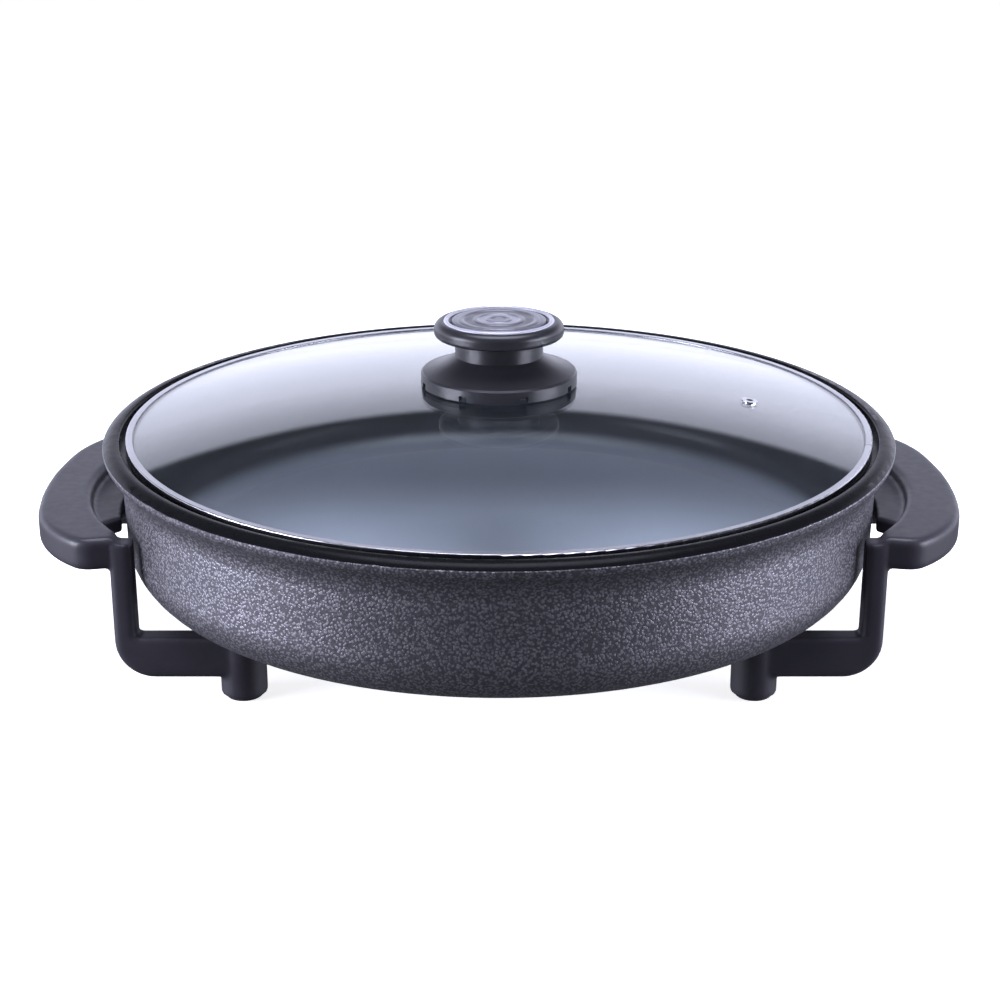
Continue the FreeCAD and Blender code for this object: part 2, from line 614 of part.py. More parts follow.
def vent_grommet():
    lift = FIT_GAP / 2
    solid = vent_cut(VENT_FLANGE, lift, lift + VENT_SHEET)
    solid = solid.fuse(vent_cut(VENT_BARREL, -GLASS_THICK - lift, lift))
    solid = solid.fuse(vent_cut(VENT_FLANGE, -GLASS_THICK - lift - VENT_SHEET, -GLASS_THICK - lift))
    return solid.cut(vent_cut(VENT_BORE, -2 * GLASS_THICK, GLASS_THICK)).removeSplitter()


def knob_gasket_upper():
    half = GASKET_RADIUS / 2
    outline = Outline(lathe_place, 0, GLASS_TOP)
    outline.arc((half, dome_z(half)), (GASKET_RADIUS, dome_z(GASKET_RADIUS)))
    outline.line((GASKET_RADIUS, KNOB_SEAT), (0, KNOB_SEAT))
    return lathe(outline).cut(rod(KNOB_HOLE, GLASS_TOP - GASKET_THICK, KNOB_SEAT))


def knob_gasket_lower():
    reach = LOWER_GASKET_RADIUS
    outline = Outline(lathe_place, 0, GASKET_UNDER)
    outline.line((reach, GASKET_UNDER), (reach, dome_z(reach, GLASS_THICK)))
    outline.arc((reach / 2, dome_z(reach / 2, GLASS_THICK)), (0, GLASS_TOP - GLASS_THICK))
    return lathe(outline).cut(rod(KNOB_HOLE, GASKET_UNDER, GLASS_TOP))


def knob_washer():
    return ring(KNOB_WASHER_RADIUS, KNOB_HOLE / 2, STEM_SEAT, GASKET_UNDER)


def knob_screw():
    return bolt(STEM_SEAT, STEM_TOP, 0, 0, STEM_HEAD_DIA, STEM_HEAD_THICK, STEM_DIA)


def knob_insert():
    return ring(INSERT_DIA / 2, STEM_DIA / 2, INSERT_Z, INSERT_Z + INSERT_LENGTH)


def knob_skirt():
    """Flared heat shield of the knob, with notches round its lower edge."""
    low = dome_z(SKIRT_RADIUS) + SKIRT_CLEAR
    band_top = low + SKIRT_BAND
    lip = SKIRT_RADIUS - SKIRT_WALL
    shoulder = (SKIRT_RADIUS - EDGE_BREAK, band_top)
    neck = (NECK_RADIUS, NECK_Z)
    outline = Outline(lathe_place, 0, KNOB_SEAT)
    outline.line((lip, KNOB_SEAT), (lip, low), (SKIRT_RADIUS, low))
    outline.line((SKIRT_RADIUS, band_top - EDGE_BREAK), shoulder)
    outline.arc(beside(shoulder, neck, -CONE_HOLLOW), neck)
    outline.line((NECK_RADIUS, DISC_Z), (0, DISC_Z))
    solid = lathe(outline).cut(rod(KNOB_HOLE, KNOB_SEAT, DISC_Z))
    for step in range(NOTCH_COUNT):
        notch = box(lip - EDGE_BREAK, SKIRT_RADIUS + EDGE_BREAK, -NOTCH_WIDTH / 2, NOTCH_WIDTH / 2,
                    low - SKIRT_CLEAR, low + NOTCH_HEIGHT)
        notch.rotate(V(0, 0, 0), V(0, 0, 1), NOTCH_PHASE + step * 360 / NOTCH_COUNT)
        solid = solid.cut(notch)
    return solid


def knob_grip():
    """Mushroom top of the knob, with a raised ring round a shallow dish for the cap."""
    under = (DISC_RADIUS - DISC_UNDER, DISC_Z)
    low_edge = (DISC_RADIUS, DISC_EDGE_Z - EDGE_BREAK)
    high_edge = (DISC_RADIUS, DISC_EDGE_Z + EDGE_BREAK)
    brow = (CROWN_RADIUS + CROWN_WIDTH / 2, KNOB_TOP - EDGE_BREAK)
    dish = (CROWN_RADIUS - CROWN_WIDTH / 2, KNOB_TOP - EDGE_BREAK)
    outline = Outline(lathe_place, 0, DISC_Z)
    outline.line(under)
    outline.arc(beside(under, low_edge, FLARE_BULGE), low_edge)
    outline.line(high_edge)
    outline.arc(beside(high_edge, brow, FLARE_BULGE), brow)
    outline.arc((CROWN_RADIUS, KNOB_TOP), dish)
    outline.line((CAP_RADIUS + FIT_GAP, CAP_Z), (0, CAP_Z))
    return lathe(outline).cut(rod(INSERT_DIA, INSERT_Z, INSERT_Z + INSERT_LENGTH))


def knob_cap():
    solid = rod(2 * CAP_RADIUS, CAP_Z, CAP_Z + CAP_THICK)
    for radius in CAP_RINGS:
        raised = ring(radius, radius - RING_WIDTH, CAP_Z + CAP_THICK, CAP_Z + CAP_THICK + RING_HEIGHT)
        solid = solid.fuse(raised)
    return solid.removeSplitter()


def pieces():
    yield "pan", pan()
    yield "heating_element", heating_element()
    yield "element_seals", element_seals()
    yield "inlet_guard", inlet_guard()
    yield "inlet_screws", inlet_screws()
    for name, side in (("left", -1), ("right", 1)):
        yield "terminal_pin_" + name, terminal_pin(side)
        yield "handle_frame_" + name, handle_frame(side)
        yield "handle_screws_" + name, handle_screws(side)
    yield "foot_bolts", foot_bolts()
    yield "foot_washers", foot_washers()
    for name, sx, sy in corners():
        yield "foot_pad_" + name, foot_pad(sx, sy)
    yield "lid_glass", lid_glass()
    yield "lid_band", lid_band()
    yield "vent_grommet", vent_grommet()
    yield "knob_gasket_upper", knob_gasket_upper()
    yield "knob_gasket_lower", knob_gasket_lower()
    yield "knob_washer", knob_washer()
    yield "knob_screw", knob_screw()
    yield "knob_insert", knob_insert()
    yield "knob_skirt", knob_skirt()
    yield "knob_grip", knob_grip()
    yield "knob_cap", knob_cap()


os.makedirs("parts", exist_ok=True)
for node, shape in pieces():
    shape.exportStep("parts/" + node + ".step")
    print(node, shape.isValid(), len(shape.Solids), round(shape.Volume / 1000, 2), "cm3")
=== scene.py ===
"""Round electric pan with a domed glass lid: its finishes, moulded handles and ringed cap, and a studio."""

import math
import bpy
from bpy.props import FloatProperty, FloatVectorProperty, PointerProperty
from bpy.types import Operator, Panel, PropertyGroup
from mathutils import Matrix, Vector


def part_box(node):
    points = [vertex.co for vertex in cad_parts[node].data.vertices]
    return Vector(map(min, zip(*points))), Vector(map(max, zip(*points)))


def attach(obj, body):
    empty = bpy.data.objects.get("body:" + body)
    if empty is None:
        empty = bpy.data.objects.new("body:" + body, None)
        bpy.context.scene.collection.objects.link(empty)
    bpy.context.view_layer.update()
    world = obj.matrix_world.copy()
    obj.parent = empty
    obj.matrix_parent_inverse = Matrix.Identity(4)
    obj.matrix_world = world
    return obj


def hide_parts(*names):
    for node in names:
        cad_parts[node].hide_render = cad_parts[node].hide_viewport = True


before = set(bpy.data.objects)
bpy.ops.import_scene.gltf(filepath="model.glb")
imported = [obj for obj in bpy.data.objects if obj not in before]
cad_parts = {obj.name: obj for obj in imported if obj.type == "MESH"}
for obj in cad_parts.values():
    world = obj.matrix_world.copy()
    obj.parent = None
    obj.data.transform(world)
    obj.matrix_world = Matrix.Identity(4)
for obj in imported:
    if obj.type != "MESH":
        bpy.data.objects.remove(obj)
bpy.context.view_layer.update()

bl_info = {
    "name": "Round electric pan",
    "version": (1, 0, 0),
    "blender": (4, 5, 0),
    "location": "View3D > Sidebar > Electric pan",
    "description": "Finishes a round electric pan with a glass lid and sets a studio round it",
    "category": "Object",
}

MM = 0.001


def span(name):
    """Lowest and highest corner of one of the pan's parts."""
    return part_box(name)


RIM_TOP = span("pan")[1].z

# the pan's shape, where one finish gives way to another
CORNER_REACH = 173.5 * MM  # middle of the rounded corner between floor and wall
CORNER_HEIGHT = 71.0 * MM
CORNER_ROUND = 23.5 * MM  # halfway through the metal, from that middle
# painted shade: the coating's darkening up the wall fades in between these two heights
WALL_FOOT = 50.5 * MM  # the coating turns up the wall between these heights
WALL_CLEAR = 59.0 * MM
LEDGE_HEIGHT = 118.1 * MM
RECESS_REACH = 201.6 * MM
CROWN_DROP = 3.1 * MM  # enamel on the crown, down from the top of the rim
EDGE = 0.2 * MM  # half the width of a sprayed or masked edge
WAVER = 0.6 * MM  # how far a sprayed edge wanders
WANDER = 1.6 * MM  # how far the paint's grains are pulled out of round
# painted highlight: the knob's bright line is painted round the crown where a reflection falls
HIGHLIGHT_DROP = 4.1 * MM  # the knob's bright line lies above this, down from the knob's top
RING_RISE = 0.225  # how far the rings stand up, as a share of the cap's thickness
RING_STEPS = 8  # flats across one rounded ring
CAP_EDGE = 0.3 * MM
CAP_MIDDLE = 1.0 * MM  # radius of the last small face, in the middle of the cap
LATHE_PITCH = 0.35 * MM  # from one turned line on the cap to the next
BUFFING_DRAW = 40.0  # how far the polishing lines are drawn out round the band
SEAM_ANGLE = -12.5  # degrees round from the pan's right to the band's butt joint
SEAM_HALF = 0.22 * MM  # half the joint's width
SEAM_BEYOND = 180.0 * MM  # the joint shows only on this side of the lid


# ---- settings ---------------------------------------------------------------


def colour(name, description, value):
    return FloatVectorProperty(
        name=name, description=description, default=value, subtype="COLOR", size=3, min=0.0, max=1.0
    )


def length(name, description, value):
    return FloatProperty(
        name=name, description=description, default=value, subtype="DISTANCE", unit="LENGTH", min=0.0
    )


def share(name, description, value):
    return FloatProperty(
        name=name, description=description, default=value, subtype="FACTOR", min=0.0, max=1.0
    )


class PanSettings(PropertyGroup):
    # painted light and shade: lit and shaded copies of the hammered paint, for the raised grains and the
    # hollows between them
    hammer_lit_grain: colour("Hammered paint", "Raised grains of the hammered paint", (0.45, 0.44, 0.475))
    hammer_shaded_hollow: colour("Hammered hollows", "Hollows between the grains of the paint", (0.150, 0.146, 0.161))
    hammer_grain: length("Grain", "Width of one grain of the hammered paint", 1.45 * MM)
    rim_black: colour("Rim", "Smooth enamel on the crown of the rim", (0.006, 0.006, 0.007))
    # painted shade: the rear, the edge of the floor and the wall are darkened from this colour
    coating: colour("Non-stick coating", "Coating on the cooking side", (0.300, 0.320, 0.375))


class HandleSettings(PropertyGroup):
    plastic: colour("Handle plastic", "Moulded phenolic of the handles and legs", (0.033, 0.031, 0.039))
    roughness: share("Roughness", "Roughness of the handle plastic", 0.42)
    easing: length("Eased edges", "Grain of the moulding that softens its joins", 1.15 * MM)


class LidSettings(PropertyGroup):
    tint: colour("Glass tint", "Tint of the tempered glass", (0.93, 0.965, 0.955))
    steel: colour("Band steel", "Polished steel of the rolled band", (0.60, 0.60, 0.63))


class KnobSettings(PropertyGroup):
    plastic: colour("Knob plastic", "Moulded plastic of the knob", (0.017, 0.017, 0.020))
    # painted highlight: colour and half width of the bright line painted round the crown where a reflection
    # falls
    painted_highlight: colour("Trim colour", "Bright line round the cap", (0.50, 0.50, 0.56))
    cap: colour("Cap", "Satin disc pressed into the top of the knob", (0.22, 0.22, 0.25))
    crown: length("Crown", "Radius of the raised crown round the cap", 28.0 * MM)
    painted_highlight_half_width: length("Highlight", "Half the width of the bright line", 1.35 * MM)
    ring_outer: length("Outer ring", "Radius of the outer ring on the cap", 20.2 * MM)
    ring_middle: length("Middle ring", "Radius of the middle ring on the cap", 12.2 * MM)
    ring_inner: length("Inner ring", "Radius of the inner ring on the cap", 5.6 * MM)
    ring_width: length("Ring width", "Width of each ring on the cap", 3.4 * MM)


class MetalSettings(PropertyGroup):
    zinc: colour("Zinc plate", "Plated screws, pins and guard", (0.55, 0.56, 0.58))
    brass: colour("Brass", "Threaded insert of the knob", (0.62, 0.44, 0.17))


class StageSettings(PropertyGroup):
    floor: colour("Floor", "Plain pale floor", (0.92, 0.92, 0.93))


# ---- finishes ---------------------------------------------------------------


class Finish:
    """A finish in the making: one surface shader and the nodes that feed it."""

    def __init__(self, name, **sockets):
        self.material = bpy.data.materials.new(name)
        self.material.use_nodes = True
        self.tree = self.material.node_tree
        self.tree.nodes.clear()
        self.shader = self.node("ShaderNodeBsdfPrincipled", **sockets)
        self.output = self.node("ShaderNodeOutputMaterial")
        self.join(self.shader.outputs["BSDF"], self.output.inputs["Surface"])
        self.place = self.node("ShaderNodeTexCoord").outputs["Object"]

    def node(self, kind, **sockets):
        made = self.tree.nodes.new(kind)
        for name, value in sockets.items():
            made.inputs[name.replace("_", " ")].default_value = value
        return made

    def join(self, output, socket):
        self.tree.links.new(output, socket)

    def feed(self, socket, value):
        if isinstance(value, bpy.types.NodeSocket):
            self.join(value, socket)
        else:
            socket.default_value = value

    def math(self, operation, a, b=0.0):
        made = self.tree.nodes.new("ShaderNodeMath")
        made.operation = operation
        self.feed(made.inputs[0], a)
        self.feed(made.inputs[1], b)
        return made.outputs[0]

    def axes(self):
        split = self.node("ShaderNodeSeparateXYZ")
        self.join(self.place, split.inputs[0])
        return split.outputs

    def distance(self, x, y):
        return self.math("SQRT", self.math("ADD", self.math("MULTIPLY", x, x), self.math("MULTIPLY", y, y)))

    def reach(self):
        """Distance from the pan's upright centre line."""
        x, y, _ = self.axes()
        return self.distance(x, y)

    def ramp(self, value, low, high, start=0.0, end=1.0):
        made = self.tree.nodes.new("ShaderNodeMapRange")
        made.interpolation_type = "SMOOTHSTEP"
        self.feed(made.inputs["Value"], value)
        made.inputs["From Min"].default_value = low
        made.inputs["From Max"].default_value = high
        made.inputs["To Min"].default_value = start
        made.inputs["To Max"].default_value = end
        return made.outputs["Result"]

    def noise(self, scale, detail, roughness=0.5, place=None):
        made = self.node("ShaderNodeTexNoise", Scale=scale, Detail=detail, Roughness=roughness)
        self.join(place or self.place, made.inputs["Vector"])
        return made

    def cloud(self, scale, detail, roughness=0.5, place=None):
        return self.noise(scale, detail, roughness, place).outputs["Fac"]

    def uneven(self, scale, detail, low, high):
        """A value that drifts between low and high."""
        return self.ramp(self.cloud(scale, detail), 0.3, 0.7, low, high)

    def cells(self, scale, place, smoothness):
        """Distance to the nearest of many scattered points, rounded where two cells meet."""
        made = self.tree.nodes.new("ShaderNodeTexVoronoi")
        made.feature = "SMOOTH_F1"
        made.inputs["Scale"].default_value = scale
        made.inputs["Smoothness"].default_value = smoothness
        self.join(place, made.inputs["Vector"])
        return made.outputs["Distance"]

    def band(self, value, start, full, fading, end):
        """One between full and fading, nothing before start or after end."""
        return self.math("MULTIPLY", self.ramp(value, start, full), self.ramp(value, fading, end, 1.0, 0.0))

    def blend(self, factor, first, second):
        made = self.tree.nodes.new("ShaderNodeMix")
        made.data_type = "RGBA"
        self.feed(made.inputs["Factor"], factor)
        self.feed(made.inputs[6], rgba(first))
        self.feed(made.inputs[7], rgba(second))
        return made.outputs[2]

    def between(self, factor, first, second):
        made = self.tree.nodes.new("ShaderNodeMix")
        made.data_type = "FLOAT"
        self.feed(made.inputs[0], factor)
        self.feed(made.inputs[2], first)
        self.feed(made.inputs[3], second)
        return made.outputs[0]

    def relief(self, height, depth, strength=1.0, under=None):
        made = self.node("ShaderNodeBump", Strength=strength, Distance=depth)
        self.join(height, made.inputs["Height"])
        if under is not None:
            self.join(under, made.inputs["Normal"])
        return made.outputs["Normal"]

    def wear(self, **sockets):
        for name, value in sockets.items():
            self.feed(self.shader.inputs[name.replace("_", " ")], value)


def toned(colour_in, factor):
    return tuple(factor * part for part in colour_in)


def rgba(value):
    if isinstance(value, bpy.types.NodeSocket):
        return value
    return (value[0], value[1], value[2], 1.0)


def hammered_paint(made, settings):
    """Raised rounded grains, pulled out of round by a slow wander; gives their colour and their height. The
    colour is painted light and shade: lighter on the raised grains, darker in the hollows between them.
    """
    wander = made.noise(420.0, 2.0)
    moved = made.tree.nodes.new("ShaderNodeVectorMath")
    moved.operation = "MULTIPLY_ADD"
    made.join(wander.outputs["Color"], moved.inputs[0])
    moved.inputs[1].default_value = (WANDER, WANDER, WANDER)
    made.join(made.place, moved.inputs[2])
    grain = made.cells(1.0 / settings.hammer_grain, moved.outputs[0], 0.55)
    bead = made.ramp(grain, 0.22, 0.62, 1.0, 0.0)
    tone = made.math("MULTIPLY", bead, made.uneven(1500.0, 2.0, 0.55, 1.0))
    tone = made.math("MULTIPLY", tone, made.ramp(made.cloud(60.0, 3.0), 0.25, 0.75, 0.75, 1.0))
    # painted light and shade: the grains take the lit copy of the paint, the hollows the shaded copy
    return made.blend(tone, settings.hammer_shaded_hollow, settings.hammer_lit_grain), bead


def non_stick_with_painted_shade(made, settings, mottle, upright):
    """Fine mineral speckle over slow cloudiness, with painted shade that darkens it towards the rear, round
    the edge of the floor and up the wall.
    """
    speck = made.ramp(made.cloud(2600.0, 1.0), 0.35, 0.70)
    coat = settings.coating
    colour_out = made.blend(made.math("MULTIPLY", speck, mottle), toned(coat, 0.86), toned(coat, 1.22))
    # painted shade: the coating is darkened towards the rear of the pan
    back = made.ramp(made.axes()[1], -50.0 * MM, 130.0 * MM, 0.0, 0.95)
    colour_out = made.blend(back, colour_out, toned(coat, 0.22))
    # painted shade: the coating is darkened round the edge of the floor
    painted_edge_shade = made.ramp(made.reach(), 100.0 * MM, 178.0 * MM, 0.0, 0.45)
    colour_out = made.blend(painted_edge_shade, colour_out, toned(coat, 0.36))
    # painted shade: the coating is darkened up the wall, so the floor stays the lit part
    return made.blend(upright, colour_out, toned(coat, 0.07))


def pan_zones(made):
    """Where the cooking side is coated, and where the rim is enamelled, with the waver of a sprayed edge."""
    reach = made.reach()
    height = made.axes()[2]
    out = made.math("MAXIMUM", made.math("SUBTRACT", reach, CORNER_REACH), 0.0)
    down = made.math("MAXIMUM", made.math("SUBTRACT", CORNER_HEIGHT, height), 0.0)
    depth = made.distance(out, down)
    within = made.ramp(depth, CORNER_ROUND - EDGE, CORNER_ROUND + EDGE, 1.0, 0.0)
    waver = made.math("MULTIPLY", made.math("SUBTRACT", made.cloud(90.0, 2.0), 0.5), WAVER)
    crown_foot = RIM_TOP - CROWN_DROP
    crown = made.ramp(made.math("ADD", height, waver), crown_foot - EDGE, crown_foot + EDGE)
    ledge = made.math(
        "MULTIPLY",
        made.ramp(height, LEDGE_HEIGHT - 0.5 * EDGE, LEDGE_HEIGHT + 0.5 * EDGE),
        made.ramp(reach, RECESS_REACH - 0.5 * EDGE, RECESS_REACH + 0.5 * EDGE, 1.0, 0.0),
    )
    return within, made.math("MAXIMUM", crown, ledge), made.ramp(height, WALL_FOOT, WALL_CLEAR)


def pan_finish(settings):
    """Hammered paint outside, painted lighter on its grains and darker in its hollows, smooth black enamel
    on the crown of the rim, non-stick coating inside with painted shade towards the rear, round the edge and
    up the wall.
    """
    made = Finish("pan_coat")
    within, rim, upright = pan_zones(made)
    hammered, bead = hammered_paint(made, settings)
    mottle = made.cloud(24.0, 4.0)
    coating = non_stick_with_painted_shade(made, settings, mottle, upright)
    smooth_side = made.math("MAXIMUM", rim, within)
    rough_grain = made.uneven(700.0, 2.0, 0.38, 0.50)
    rough_coat = made.between(mottle, 0.25, 0.36)
    rough_rim = made.uneven(130.0, 3.0, 0.24, 0.31)
    sheen = made.between(made.math("MULTIPLY", within, upright), 0.36, 0.10)
    raised = made.math("MULTIPLY", bead, made.math("SUBTRACT", 1.0, smooth_side))
    bumps = made.relief(raised, 0.13 * MM, 0.7)
    skin = made.math("MULTIPLY", made.cloud(900.0, 2.0), smooth_side)
    made.wear(
        Base_Color=made.blend(rim, made.blend(within, hammered, coating), settings.rim_black),
        Roughness=made.between(rim, made.between(within, rough_grain, rough_coat), rough_rim),
        Metallic=made.between(smooth_side, 0.85, 0.0),
        Specular_IOR_Level=made.between(rim, sheen, 0.07),
        Normal=made.relief(skin, 0.04 * MM, 0.35, bumps),
    )
    return made.material


def plastic_finish(name, colour_in, roughness, unevenness=0.03, peel=0.12):
    """Moulded phenolic: near black, satin, with a fine orange peel and faint clouding."""
    made = Finish(name)
    dust = made.ramp(made.cloud(2300.0, 2.0), 0.45, 0.75, 0.0, 0.4)
    tone = made.math("ADD", made.uneven(38.0, 4.0, 0.0, 0.6), dust)
    dark = toned(colour_in, 0.88)
    pale = toned(colour_in, 1.16)
    rough = made.uneven(210.0, 4.0, roughness - unevenness, roughness + unevenness)
    skin = made.relief(made.cloud(1400.0, 2.0), 0.05 * MM, peel)
    made.wear(Base_Color=made.blend(tone, dark, pale), Roughness=rough, Normal=skin)
    return made


def highlighted_knob_finish(settings, crown, top):
    """The knob's plastic with a painted highlight: a bright line painted round its crown."""
    made = plastic_finish("knob_painted_highlight", settings.plastic, 0.34, 0.015, 0.04)
    reach = made.reach()
    near = made.math("ABSOLUTE", made.math("SUBTRACT", reach, crown))
    # painted highlight: a thin ring at the crown's radius, near the knob's top
    line = made.math(
        "MULTIPLY",
        made.ramp(near, settings.painted_highlight_half_width - EDGE / 4.0, settings.painted_highlight_half_width + EDGE / 4.0, 1.0, 0.0),
        made.ramp(made.axes()[2], top - HIGHLIGHT_DROP - EDGE / 2.0, top - HIGHLIGHT_DROP + EDGE / 2.0),
    )
    under = made.shader.inputs["Base Color"].links[0].from_socket
    made.wear(Base_Color=made.blend(line, under, settings.painted_highlight), Metallic=made.math("MULTIPLY", line, 0.35))
    return made.material


def turned_cap_finish(settings):
    """Satin disc with the fine rings a lathe leaves, a painted highlight ring and a painted shade ring."""
    made = Finish("cap_plastic", Metallic=0.55)
    reach = made.reach()
    rings = made.math("SINE", made.math("MULTIPLY", reach, 2.0 * math.pi / LATHE_PITCH))
    drag = made.cloud(160.0, 3.0)
    satin = made.blend(made.ramp(drag, 0.3, 0.7), toned(settings.cap, 0.88), toned(settings.cap, 1.12))
    # painted highlight: a brighter ring painted across the cap between the inner and middle rings
    bright = made.band(reach, 5.0 * MM, 7.5 * MM, 10.0 * MM, 12.5 * MM)
    # painted shade: a darker ring painted between the middle and outer rings
    painted_shade_ring = made.band(reach, 13.0 * MM, 15.0 * MM, 17.0 * MM, 19.0 * MM)
    satin = made.blend(bright, satin, toned(settings.cap, 1.55))
    satin = made.blend(painted_shade_ring, satin, toned(settings.cap, 0.45))
    made.wear(
        Base_Color=satin,
        Roughness=made.ramp(drag, 0.3, 0.7, 0.30, 0.38),
        Normal=made.relief(rings, 0.01 * MM, 0.12),
    )
    return made.material


def glass_finish(settings):
    """Clear tempered glass, faintly green, with a trace of film left by wiping."""
    made = Finish("glass", IOR=1.5, Roughness=0.0)
    made.shader.inputs["Transmission Weight"].default_value = 1.0
    wiped = tuple(min(1.0, part) for part in toned(settings.tint, 1.02))
    made.wear(Base_Color=made.blend(made.cloud(14.0, 3.0), settings.tint, wiped))
    clear = made.node("ShaderNodeBsdfTransparent")
    clear.inputs["Color"].default_value = (0.93, 0.95, 0.95, 1.0)
    mix = made.node("ShaderNodeMixShader")
    path = made.node("ShaderNodeLightPath")
    made.join(path.outputs["Is Shadow Ray"], mix.inputs[0])
    made.join(made.shader.outputs[0], mix.inputs[1])
    made.join(clear.outputs[0], mix.inputs[2])
    made.join(mix.outputs[0], made.output.inputs["Surface"])
    return made.material


def polished_finish(settings):
    """Rolled stainless steel, polished round its length, with the butt joint of the band on the right."""
    made = Finish("polished_steel", Metallic=1.0)
    x, y, height = made.axes()
    lines = made.node("ShaderNodeCombineXYZ")
    made.join(made.math("MULTIPLY", made.distance(x, y), BUFFING_DRAW), lines.inputs[0])
    made.join(made.math("MULTIPLY", height, BUFFING_DRAW), lines.inputs[1])
    buffing = made.cloud(260.0, 3.0, place=lines.outputs[0])
    slope = math.tan(math.radians(SEAM_ANGLE))
    aside = made.math("ABSOLUTE", made.math("SUBTRACT", y, made.math("MULTIPLY", x, slope)))
    gap = made.ramp(aside, SEAM_HALF, SEAM_HALF + 0.4 * EDGE, 1.0, 0.0)
    seam = made.math("MULTIPLY", gap, made.ramp(x, SEAM_BEYOND, SEAM_BEYOND + 5.0 * EDGE))
    bright = made.blend(made.uneven(30.0, 3.0, 0.0, 1.0), toned(settings.steel, 0.90), settings.steel)
    made.wear(
        Base_Color=made.blend(seam, bright, (0.03, 0.03, 0.03)),
        Roughness=made.ramp(buffing, 0.3, 0.7, 0.20, 0.28),
        Normal=made.relief(buffing, 0.01 * MM, 0.10),
    )
    return made.material


def plated_finish(name, colour_in, low_rough, high_rough):
    """Plated or turned metal with light handling marks."""
    made = Finish(name, Metallic=1.0)
    marks = made.cloud(420.0, 5.0, 0.6)
    made.wear(
        Base_Color=made.blend(made.uneven(70.0, 3.0, 0.0, 1.0), toned(colour_in, 0.72), colour_in),
        Roughness=made.ramp(marks, 0.3, 0.7, low_rough, high_rough),
        Normal=made.relief(marks, 0.03 * MM, 0.3),
    )
    return made.material


def soft_finish(name, dark, pale, roughness, scale):
    """Rubber, silicone or fired clay: matt and faintly grained."""
    made = Finish(name)
    grain = made.cloud(scale, 4.0, 0.6)
    made.wear(
        Base_Color=made.blend(made.ramp(grain, 0.3, 0.7), dark, pale),
        Roughness=made.ramp(grain, 0.3, 0.7, roughness - 0.08, roughness + 0.08),
        Normal=made.relief(grain, 0.05 * MM, 0.4),
    )
    return made.material


def dress(material, *nodes):
    """Gives parts of the frame their finish."""
    for name in nodes:
        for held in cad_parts[name].material_slots:
            held.material = material


# ---- making pieces ----------------------------------------------------------


def pick(*pieces):
    """Selects these pieces and nothing else."""
    bpy.ops.object.select_all(action="DESELECT")
    for piece in pieces:
        piece.select_set(True)
    bpy.context.view_layer.objects.active = pieces[-1]


def finish_with(piece, kind, **values):
    """Adds one modifier to the piece and applies it."""
    pick(piece)
    made = piece.modifiers.new(kind.lower(), kind)
    for name, value in values.items():
        setattr(made, name, value)
    bpy.ops.object.modifier_apply(modifier=made.name)


def settle(piece, name, material, body, slot, *stands_for):
    """Puts the piece's place in its mesh, gives it its finish and hangs it on its body."""
    pick(piece)
    bpy.ops.object.transform_apply(location=True, rotation=True, scale=True)
    piece.name = name
    piece.data.name = name
    piece.data.materials.clear()
    piece.data.materials.append(material)
    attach(piece, body)
    if stands_for:
        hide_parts(*stands_for)
    return piece


def moulded_copy(source, grain, rounds):
    """Copy of a moulded part whose joins are eased as a mould leaves them."""
    piece = bpy.data.objects.new(source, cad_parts[source].data.copy())
    bpy.context.scene.collection.objects.link(piece)
    pick(piece)
    bpy.ops.object.mode_set(mode="EDIT")
    bpy.ops.mesh.select_all(action="SELECT")
    bpy.ops.mesh.remove_doubles(threshold=0.02 * MM)
    bpy.ops.object.mode_set(mode="OBJECT")
    bpy.ops.mesh.customdata_custom_splitnormals_clear()
    finish_with(piece, "REMESH", mode="VOXEL", voxel_size=grain)
    finish_with(piece, "SMOOTH", factor=0.5, iterations=rounds)
    bpy.ops.object.shade_smooth()
    return piece


def turned(stations, steps=128):
    """Solid turned about the upright centre line through (radius, height) stations, from foot to middle."""
    radius, height = stations[0]
    bpy.ops.object.select_all(action="DESELECT")
    bpy.ops.mesh.primitive_circle_add(
        vertices=steps, radius=radius, fill_type="NGON", location=(0.0, 0.0, height)
    )
    piece = bpy.context.object
    bpy.ops.object.mode_set(mode="EDIT")
    bpy.ops.mesh.select_mode(type="FACE")
    bpy.ops.mesh.select_all(action="SELECT")
    for next_radius, next_height in stations[1:]:
        bpy.ops.mesh.extrude_region_move(
            TRANSFORM_OT_translate={"value": (0.0, 0.0, next_height - height)}
        )
        scale = next_radius / radius
        bpy.ops.transform.resize(value=(scale, scale, 1.0), center_override=(0.0, 0.0, next_height))
        radius, height = next_radius, next_height
    bpy.ops.mesh.select_all(action="SELECT")
    bpy.ops.mesh.normals_make_consistent(inside=False)
    bpy.ops.object.mode_set(mode="OBJECT")
    return piece


def knob_cap(settings):
    """Thin disc with three rounded rings standing on it."""
    low, high = span("knob_cap")
    rise = RING_RISE * (high.z - low.z)
    level = high.z - rise
    stations = [(high.x, low.z), (high.x, level - CAP_EDGE), (high.x - CAP_EDGE, level)]
    for radius in (settings.ring_outer, settings.ring_middle, settings.ring_inner):
        for step in range(RING_STEPS + 1):
            turn = math.pi * step / RING_STEPS
            across = radius + 0.5 * settings.ring_width * math.cos(turn)
            stations.append((across, level + rise * math.sin(turn)))
    stations.append((CAP_MIDDLE, level))
    piece = turned(stations)
    bpy.ops.object.shade_smooth_by_angle(angle=math.radians(50.0))
    return piece


# ---- operators --------------------------------------------------------------


class PAN_OT_body(Operator):
    """Coat the pan: hammered outside, black rim, non-stick inside"""

    bl_idname = "electric_pan.body"
    bl_label = "Pan"

    def execute(self, context):
        dress(pan_finish(context.scene.pan_settings), "pan")
        return {"FINISHED"}


